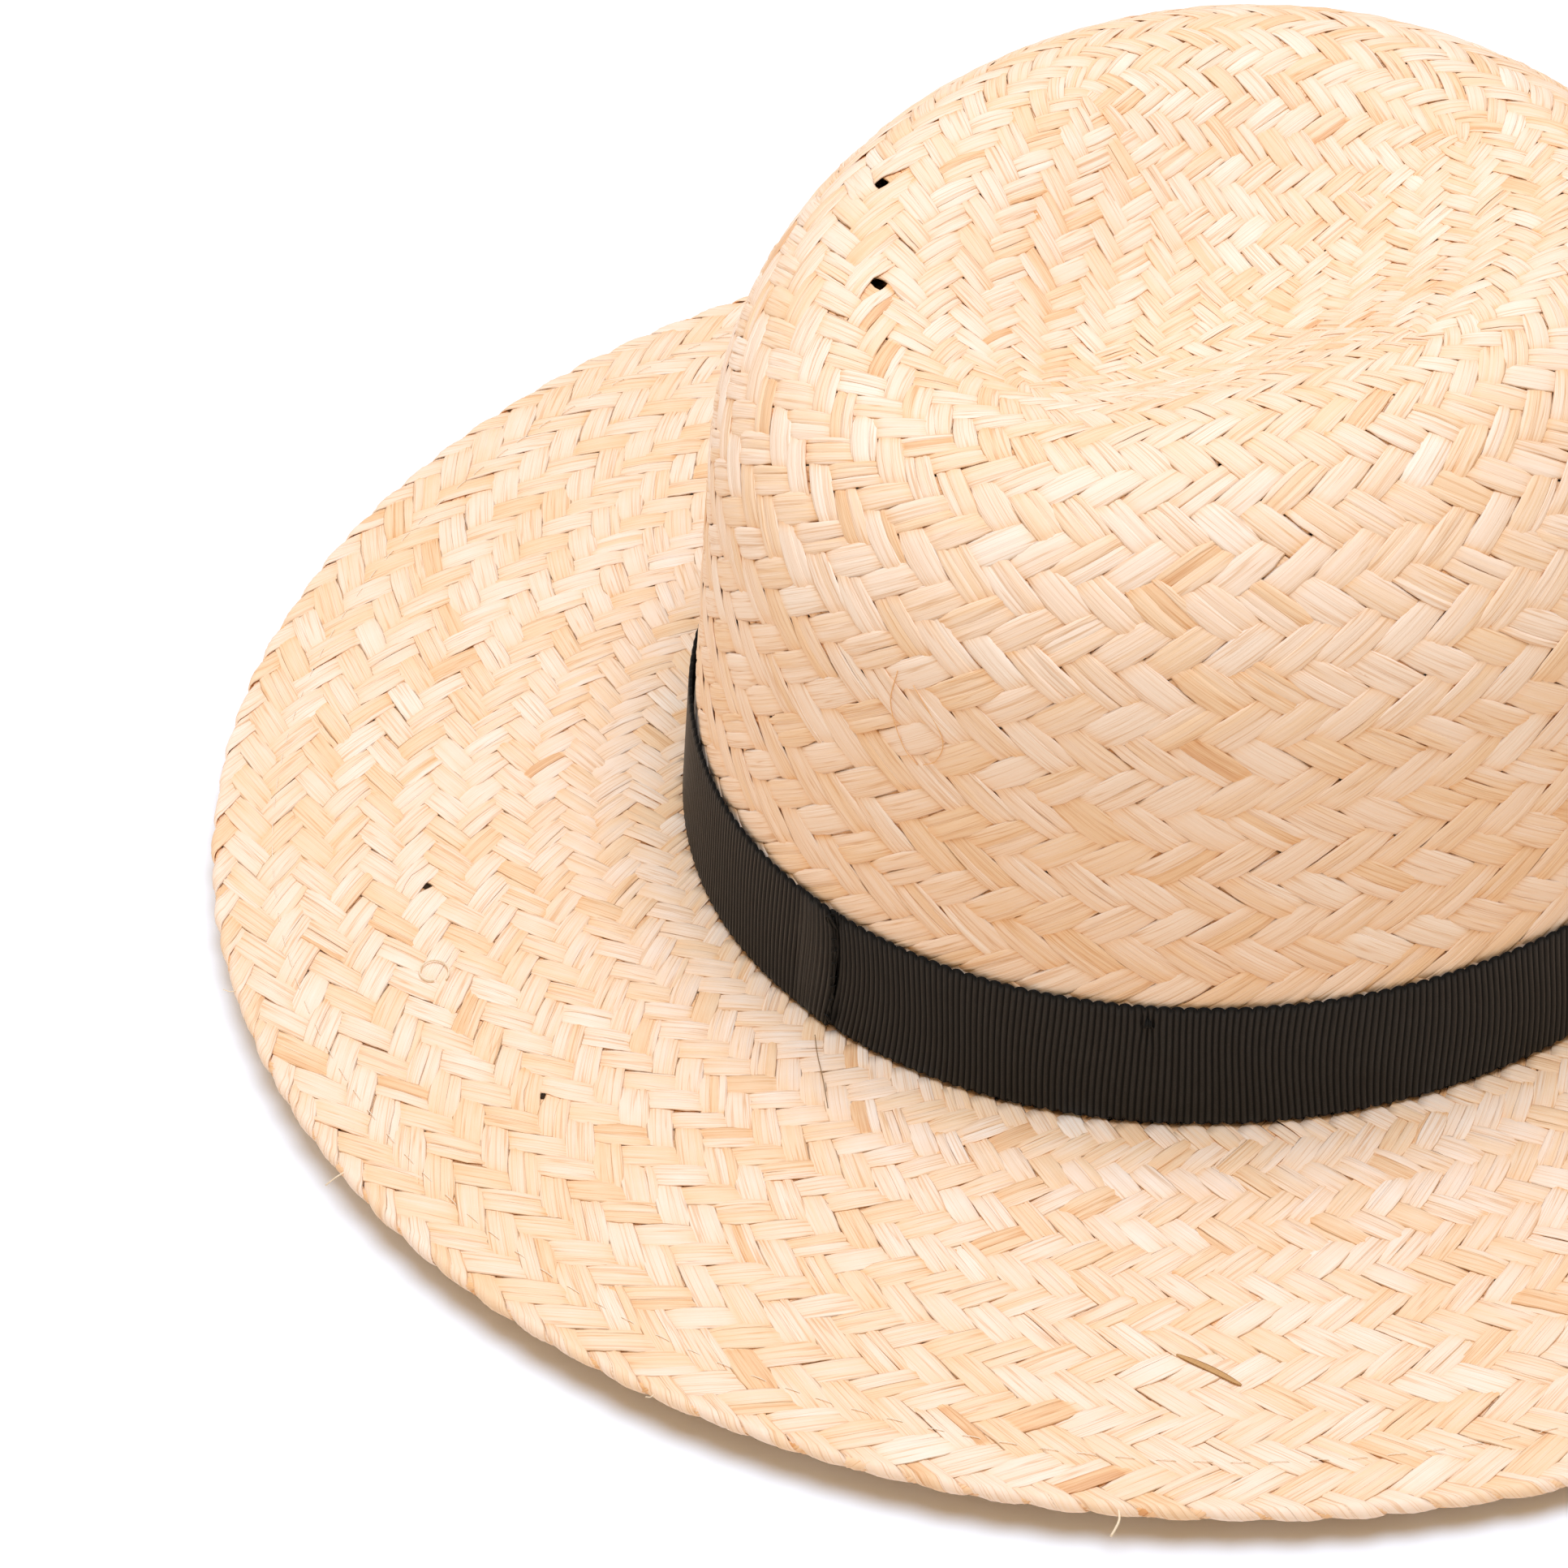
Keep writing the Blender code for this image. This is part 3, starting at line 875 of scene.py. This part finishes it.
def stray_thread():
    """A loose dark thread on the brim, under the band's seam."""
    heap = Heap()
    tube(heap, smooth_line([on_brim(*knot) for knot in DARK_LINE]), DARK_R)
    return heap.piece("stray_dark_thread")


# ---- materials ----

STRAW_TONES = [  # from the palest straw to the darkest
    (0.0, (0.97, 0.82, 0.70)),
    (0.35, (0.945, 0.735, 0.58)),
    (0.62, (0.92, 0.66, 0.44)),
    (0.86, (0.86, 0.555, 0.325)),
    (1.0, (0.78, 0.45, 0.245)),
]
STRAW_CREASE_SHADE = (0.80, 0.62, 0.44)     # painted shade: fine dark lines along the fibres, as if in their creases
STRAW_UNDER_SHADE = (0.97, 0.80, 0.60)     # painted warm shade, where a strip lies under others


class Nodes:
    """Short hand for building one material's node tree."""

    def __init__(self, name):
        self.material = bpy.data.materials.new(name)
        self.material.use_nodes = True
        self.tree = self.material.node_tree

    def fill(self, node, inputs):
        """Links each input that is given a socket, and sets the plain values."""
        for key, value in inputs.items():
            if isinstance(value, bpy.types.NodeSocket):
                self.tree.links.new(value, node.inputs[key])
            else:
                node.inputs[key].default_value = value

    def add(self, kind, inputs, **settings):
        node = self.tree.nodes.new(kind)
        for key, value in settings.items():
            setattr(node, key, value)
        self.fill(node, inputs)
        return node

    def attribute(self, name, output="Fac"):
        """One of the mesh's own attributes."""
        made = self.add("ShaderNodeAttribute", {}, attribute_type="GEOMETRY", attribute_name=name)
        return made.outputs[output]

    def noise(self, vector, scale, detail, roughness=0.55):
        """Noise over a vector stretched by scale = (x, y, z)."""
        mapping = self.add("ShaderNodeMapping", {"Vector": vector, "Scale": scale})
        made = self.add("ShaderNodeTexNoise", {
            "Vector": mapping.outputs["Vector"], "Scale": 1.0, "Detail": detail,
            "Roughness": roughness})
        return made.outputs["Fac"]

    def ramp(self, factor, stops):
        """A factor turned into colours, through (place, colour) stops."""
        made = self.add("ShaderNodeValToRGB", {"Fac": factor})
        elements = made.color_ramp.elements
        while len(elements) < len(stops):
            elements.new(0.5)
        for element, (place, colour) in zip(elements, stops):
            element.position = place
            element.color = (*colour, 1.0)
        return made.outputs["Color"]

    def span(self, factor, low, high):
        """A factor from 0 to 1 spread over low to high."""
        made = self.add("ShaderNodeMapRange", {"Value": factor, "To Min": low, "To Max": high})
        return made.outputs["Result"]

    def sum(self, one, two, weight):
        """one + weight * (two - 0.5)"""
        base = self.add("ShaderNodeMath", {0: one, 1: 0.5 * weight}, operation="SUBTRACT")
        made = self.add("ShaderNodeMath", {0: two, 1: weight, 2: base.outputs[0]},
                        operation="MULTIPLY_ADD")
        return made.outputs[0]

    def darken(self, colour, share, towards):
        """The colour, multiplied by another as far as share says."""
        made = self.add("ShaderNodeMix", {}, data_type="RGBA", blend_type="MULTIPLY")
        self.fill(made, {0: share, 6: colour, 7: (*towards, 1.0)})
        return made.outputs[2]

    def bump(self, height, strength, distance, **under):
        """Normals of a rough surface, over other ones where Normal is given."""
        made = self.add("ShaderNodeBump", {
            "Height": height, "Strength": strength, "Distance": distance, **under})
        return made.outputs["Normal"]

    def finish(self, inputs):
        """The material, once its shader has these inputs."""
        self.fill(self.tree.nodes["Principled BSDF"], inputs)
        return self.material


def grey(value):
    """A colour without a hue."""
    return (value, value, value)


def straw_material(name):
    """Dried palm straw: fibres along each strip, strips of slightly different colour, and painted
    shade in fine creases and under other strips.
    """
    nodes = Nodes(name)
    fibre = nodes.attribute("fibre", "Vector")
    broad = nodes.noise(fibre, (60.0, 330.0, 1.0), 2.0)
    streak = nodes.noise(fibre, (70.0, 2300.0, 1.0), 4.0, 0.68)
    crease = nodes.noise(fibre, (35.0, 950.0, 3.0), 2.0, 0.5)
    split = nodes.noise(fibre, (24.0, 1250.0, 5.0), 1.0)
    mixed = nodes.sum(nodes.sum(nodes.attribute("tone"), broad, 0.50), streak, 0.75)
    # painted shade: thin dark lines along the fibres that stand for shade in their creases
    crease_shade_lines = nodes.ramp(split, [
        (0.0, grey(0.0)), (0.455, grey(0.0)), (0.49, grey(0.75)), (0.525, grey(0.0))])
    crease_shaded = nodes.darken(nodes.ramp(mixed, STRAW_TONES), crease_shade_lines, STRAW_CREASE_SHADE)
    fine = nodes.bump(streak, 0.7, 0.14 * MM)
    return nodes.finish({
        # painted shade under other strips darkens the straw's colour here
        "Base Color": nodes.darken(crease_shaded, nodes.attribute("deep"), STRAW_UNDER_SHADE),
        "Roughness": nodes.span(streak, 0.42, 0.66),
        "Normal": nodes.bump(crease, 0.7, 0.34 * MM, Normal=fine),
        "Specular IOR Level": 0.30})


def ribbon_material(name, groove, dark, light, gloss):
    """Grosgrain: fine warp threads that cross the ribs, and painted shade that darkens the grooves
    between them.
    """
    nodes = Nodes(name)
    fibre = nodes.attribute("fibre", "Vector")
    ridge = nodes.attribute("ridge")
    warp = nodes.noise(fibre, (1800.0, 5200.0, 1.0), 2.0)
    lint = nodes.noise(fibre, (420.0, 260.0, 1.0), 3.0)
    colour = nodes.ramp(nodes.sum(warp, lint, 0.7), [(0.25, dark), (0.85, light)])
    # painted shade: the grooves between the ribs are darkened towards the groove colour
    low = nodes.ramp(ridge, [(0.35, grey(1.0)), (0.95, grey(0.0))])
    return nodes.finish({
        "Base Color": nodes.darken(colour, low, groove),
        "Roughness": nodes.span(ridge, 0.85, gloss),
        "Normal": nodes.bump(warp, 0.5, 0.08 * MM),
        "Specular IOR Level": 0.27})


def thread_material(name, dark, light, roughness):
    """Twisted thread."""
    nodes = Nodes(name)
    twist = nodes.noise(nodes.attribute("fibre", "Vector"), (3200.0, 900.0, 1.0), 2.0)
    return nodes.finish({
        "Base Color": nodes.ramp(twist, [(0.3, dark), (0.7, light)]),
        "Normal": nodes.bump(twist, 0.4, 0.05 * MM),
        "Roughness": roughness,
        "Specular IOR Level": 0.25})


def floor_material():
    """Pale matt paper."""
    return Nodes("floor_paper").finish({
        "Base Color": (*FLOOR_COLOUR, 1.0), "Roughness": 0.8, "Specular IOR Level": 0.2})


def finish_piece(obj, material, slot, *replaced):
    """Material, body and the CAD nodes stood for, of one visual piece; slot is not used."""
    obj.data.materials.clear()
    obj.data.materials.append(material)
    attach(obj, "root")
    if replaced:
        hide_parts(*replaced)
    return obj


# ---- stage ----

CAMERA_AZIMUTH = math.radians(62.0)     # from the hat's front, towards the wearer's left
CAMERA_ELEVATION = 0.6958
CAMERA_DISTANCE = 1.2395
CAMERA_AIM = Vector((-0.0394, -0.0678, 0.0035))
CAMERA_LENS = 158.8
CAMERA_SENSOR = 36.0
LIGHT_AIM = Vector((0.0, 0.0, 0.05))
LIGHTS = (  # name, place, size, watts, colour
    ("top", (0.15, -0.10, 2.0), 1.5, 39.0, (0.63, 0.785, 0.99)),
    ("key", (-1.1, -0.75, 1.15), 0.9, 4.0, (0.88, 1.0, 1.12)),
)
SKY_COLOUR = (1.0, 0.735, 0.41)
SKY_STRENGTH = 0.60
FLOOR_SIZE = 12.0
FLOOR_COLOUR = (0.95, 0.96, 1.0)
NEAR_EDGE = math.radians(285.0)     # where the brim stands furthest off the table
NEAR_EDGE_LIFT = 6.0 * MM


def make_camera():
    """A long lens from above, over the wearer's left."""
    level = math.cos(CAMERA_ELEVATION)
    away = Vector((math.sin(CAMERA_AZIMUTH) * level, -math.cos(CAMERA_AZIMUTH) * level,
                   math.sin(CAMERA_ELEVATION)))
    data = bpy.data.cameras.new("camera")
    data.lens = CAMERA_LENS
    data.sensor_width = CAMERA_SENSOR
    data.clip_start = 0.05
    camera = bpy.data.objects.new("camera", data)
    camera.location = CAMERA_AIM + CAMERA_DISTANCE * away
    camera.rotation_euler = away.to_track_quat("Z", "Y").to_euler()
    bpy.context.scene.collection.objects.link(camera)
    bpy.context.scene.camera = camera


def area_light(name, place, size, power, colour):
    """A round soft light that faces the hat."""
    data = bpy.data.lights.new(name, "AREA")
    data.shape = "DISK"
    data.size = size
    data.energy = power
    data.color = colour
    light = bpy.data.objects.new(name, data)
    light.location = place
    light.rotation_euler = (Vector(place) - LIGHT_AIM).to_track_quat("Z", "Y").to_euler()
    bpy.context.scene.collection.objects.link(light)


def make_stage():
    """Floor, sky and lights. The floor is tipped so that the near edge stands off it."""
    drop = 0.5 * NEAR_EDGE_LIFT
    bpy.ops.mesh.primitive_plane_add(size=FLOOR_SIZE, location=(0.0, 0.0, -drop))
    floor = bpy.context.object
    floor.name = "floor"
    tip = drop / BRIM_R
    floor.rotation_euler = (-tip * math.sin(NEAR_EDGE), tip * math.cos(NEAR_EDGE), 0.0)
    floor.data.materials.append(floor_material())
    world = bpy.data.worlds.new("studio")
    world.use_nodes = True
    backdrop = world.node_tree.nodes["Background"]
    backdrop.inputs["Color"].default_value = (*SKY_COLOUR, 1.0)
    backdrop.inputs["Strength"].default_value = SKY_STRENGTH
    bpy.context.scene.world = world
    for light in LIGHTS:
        area_light(*light)
    bpy.context.scene.view_settings.view_transform = "Standard"


# ---- the hat ----

def make_straw():
    """Crown and brim; the first piece of each stands for the CAD's nodes."""
    straw = straw_material("straw_fibres")
    crown = weave_pieces("crown_weave", crown_strips(), crown_weave, **CROWN_STRAW)
    brim = weave_pieces("brim_weave", brim_strips(), brim_weave, **BRIM_STRAW)
    for pieces, replaced in ((crown, ["crown"]), (brim, ["brim", "brim_hem"])):
        finish_piece(pieces[0], straw, "straw", *replaced)
        for piece in pieces[1:]:
            finish_piece(piece, straw, "straw")


def make_ribbon():
    """The band with its folded end and the thread that holds it."""
    # groove is the colour of the painted shade between the ribs
    black = ribbon_material("grosgrain_black", groove=grey(0.05), dark=grey(0.005),
                            light=(0.017, 0.018, 0.019), gloss=0.33)
    band = grosgrain("hatband_ribbon", 0.0, TURN, GAP - SAG, BAND_H + SAG, GAP, BAND_SKIN,
                     BAND_RIB, BAND_RIB_DEPTH, True, band_bend)
    finish_piece(band, black, "ribbon", "hatband")
    width = LAP_W / CROWN_R
    lap = grosgrain("hatband_folded_end", SEAM - width, width, GAP - SAG, BAND_H + SAG,
                    GAP + 0.05 * MM, BAND_SKIN, BAND_RIB, BAND_RIB_DEPTH, True, lap_bend)
    finish_piece(lap, black, "ribbon", "hatband_lap")
    thread = thread_material("black_thread", dark=grey(0.002), light=grey(0.007), roughness=0.7)
    sewn = [lap, finish_piece(seam_stitches(), thread, "black_thread", "hatband_seam_thread")]
    for number, angle in enumerate(TACKS, 1):
        sewn.append(finish_piece(tack_stitches(number, angle), thread, "black_thread",
                                 f"hatband_tack_{number}"))


def make_lining():
    """The sweatband with its lap and stitches, and the hem's stitches of the same thread."""
    # groove is the colour of the painted shade between the ribs
    tape = ribbon_material("cotton_tape", groove=(0.80, 0.76, 0.70), dark=(0.58, 0.52, 0.43),
                           light=(0.80, 0.74, 0.63), gloss=0.75)
    band = grosgrain("sweatband_tape", 0.0, TURN, SWEAT_FOOT, SWEAT_H, -SWEAT_IN, SWEAT_SKIN,
                     SWEAT_RIB, SWEAT_RIB_DEPTH, False)
    finish_piece(band, tape, "cotton", "sweatband")
    width = SWEAT_LAP_W / CROWN_R
    lap = grosgrain("sweatband_folded_end", SWEAT_LAP, width, SWEAT_FOOT, SWEAT_H,
                    -SWEAT_IN - SWEAT_SKIN - GAP / 2.0, SWEAT_SKIN, SWEAT_RIB,
                    SWEAT_RIB_DEPTH, False)
    finish_piece(lap, tape, "cotton", "sweatband_lap")
    nylon = thread_material("clear_nylon", dark=(0.86, 0.76, 0.62), light=(0.95, 0.87, 0.74),
                            roughness=0.30)
    seam = finish_piece(sweat_stitches(), nylon, "clear_thread", "sweatband_thread")
    finish_piece(hem_stitches(), nylon, "clear_thread", "brim_hem_thread")


def make_strays():
    """The loose bits: shape, material, its two colours, roughness and slot of each."""
    for shape, name, dark, light, roughness, slot in (
            (stray_straw, "pale_fibre", (0.80, 0.64, 0.45), (0.92, 0.78, 0.60), 0.55, "straw"),
            (stray_amber, "amber_fibre", (0.76, 0.42, 0.18), (0.88, 0.54, 0.26), 0.5, "straw"),
            (stray_splinter, "brown_straw", (0.52, 0.29, 0.12), (0.60, 0.35, 0.15), 0.6, "straw"),
            (stray_thread, "dark_fibre", (0.24, 0.14, 0.07), (0.34, 0.21, 0.11), 0.5,
             "black_thread")):
        finish_piece(shape(), thread_material(name, dark, light, roughness), slot)


make_camera()
make_stage()
make_straw()
make_ribbon()
make_lining()
make_strays()
